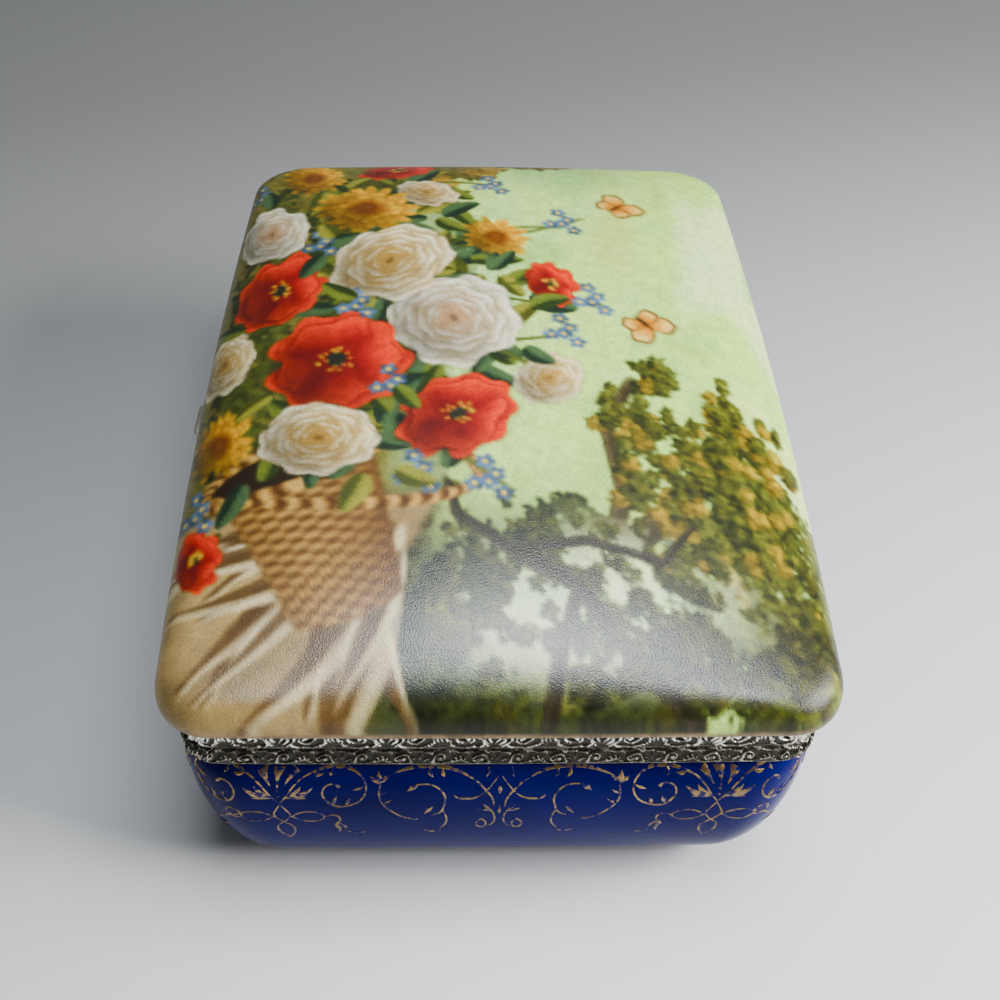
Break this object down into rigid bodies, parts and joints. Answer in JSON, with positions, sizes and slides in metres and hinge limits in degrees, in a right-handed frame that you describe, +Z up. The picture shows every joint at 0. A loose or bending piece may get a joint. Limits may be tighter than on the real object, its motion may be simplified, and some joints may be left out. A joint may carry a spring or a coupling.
{
  "type": "jewelry music box",
  "caption": "Oblong porcelain jewellery box with a hinged domed lid, embossed metal rims, flocked inserts and a key-wound music movement under its floor.",
  "frame": {"origin": "on the ground, under the middle of the box's bounding box", "axes": "+X along the box, +Y from the clasp side to the hinge side, +Z up"},
  "size_m": [0.179, 0.132, 0.075],
  "materials": {
    "lid_porcelain": "printed picture under a satin glaze, white inside, with a gilt line round the edge",
    "body_porcelain": "cobalt-blue gloss glaze with gilt scrollwork, white inside",
    "rim_metal": "embossed, silver plated and darkened in the hollows",
    "flocking": "short blue velvet flock on a thin shell",
    "movement_brass": "machined brass",
    "movement_steel": "hardened steel",
    "movement_bedplate": "die-cast grey metal"
  },
  "bodies": {
    "base": {"body_shell": "body_porcelain", "base_rim": "rim_metal", "base_hinge_leaf": "rim_metal", "hinge_pin": "rim_metal", "clasp_knob": "rim_metal", "jewel_tray": "flocking", "movement_cover": "flocking", "bedplate": "movement_bedplate", "end_bracket": "movement_brass", "mounting_screw_1": "movement_steel", "mounting_screw_2": "movement_steel", "mounting_screw_3": "movement_steel", "bracket_screw_1": "movement_steel", "bracket_screw_2": "movement_steel", "comb": "movement_steel", "comb_screw_1": "movement_steel", "comb_screw_2": "movement_steel"},
    "lid": {"lid_shell": "lid_porcelain", "lid_rim": "rim_metal", "lid_hinge_leaf": "rim_metal", "clasp_plate": "rim_metal"},
    "winding": {"winding_arbor": "movement_steel", "winding_key": "movement_brass"},
    "barrel": {"spring_barrel": "movement_brass", "barrel_cap": "movement_brass", "mainspring": "movement_steel"},
    "cylinder": {"pin_cylinder": "movement_brass", "cylinder_arbor": "movement_steel", "cylinder_pinion": "movement_brass", "cylinder_gear": "movement_brass"},
    "transfer": {"transfer_pinion": "movement_steel", "transfer_wheel": "movement_brass", "transfer_arbor": "movement_steel"},
    "governor": {"governor_worm": "movement_steel", "governor_fan": "movement_brass"},
    "stop": {"stop_wire": "movement_steel"}
  },
  "joints": [
    {"name": "lid_hinge", "type": "hinge", "parent": "base", "child": "lid", "pos_m": [0, 0.0643, 0.0495], "axis": [-1, 0, 0], "range_deg": [0, 95]},
    {"name": "winding_turn", "type": "hinge", "parent": "base", "child": "winding", "pos_m": [-0.0355, 0.027, 0.01], "axis": [0, 0, 1], "range_deg": [0, 2160]},
    {"name": "barrel_spin", "type": "hinge", "parent": "base", "child": "barrel", "pos_m": [-0.0355, 0.027, 0.019], "axis": [0, 0, 1], "continuous": true},
    {"name": "cylinder_spin", "type": "hinge", "parent": "base", "child": "cylinder", "pos_m": [-0.06065, 0.027, 0.0267], "axis": [1, 0, 0], "continuous": true},
    {"name": "transfer_spin", "type": "hinge", "parent": "base", "child": "transfer", "pos_m": [-0.0712, 0.03505, 0.0267], "axis": [1, 0, 0], "continuous": true},
    {"name": "governor_spin", "type": "hinge", "parent": "base", "child": "governor", "pos_m": [-0.0722, 0.04317, 0.0225], "axis": [0, 0, 1], "continuous": true},
    {"name": "stop_slide", "type": "slide", "parent": "base", "child": "stop", "axis": [0, 0, 1], "range_m": [0, 0.004]}
  ],
  "couplings": [
    {"joint": "cylinder_spin", "follows": "barrel_spin", "ratio": -3},
    {"joint": "transfer_spin", "follows": "barrel_spin", "ratio": 9},
    {"joint": "governor_spin", "follows": "barrel_spin", "ratio": 108},
    {"joint": "stop_slide", "follows": "lid_hinge", "m_per_rad": 0.0024}
  ]
}
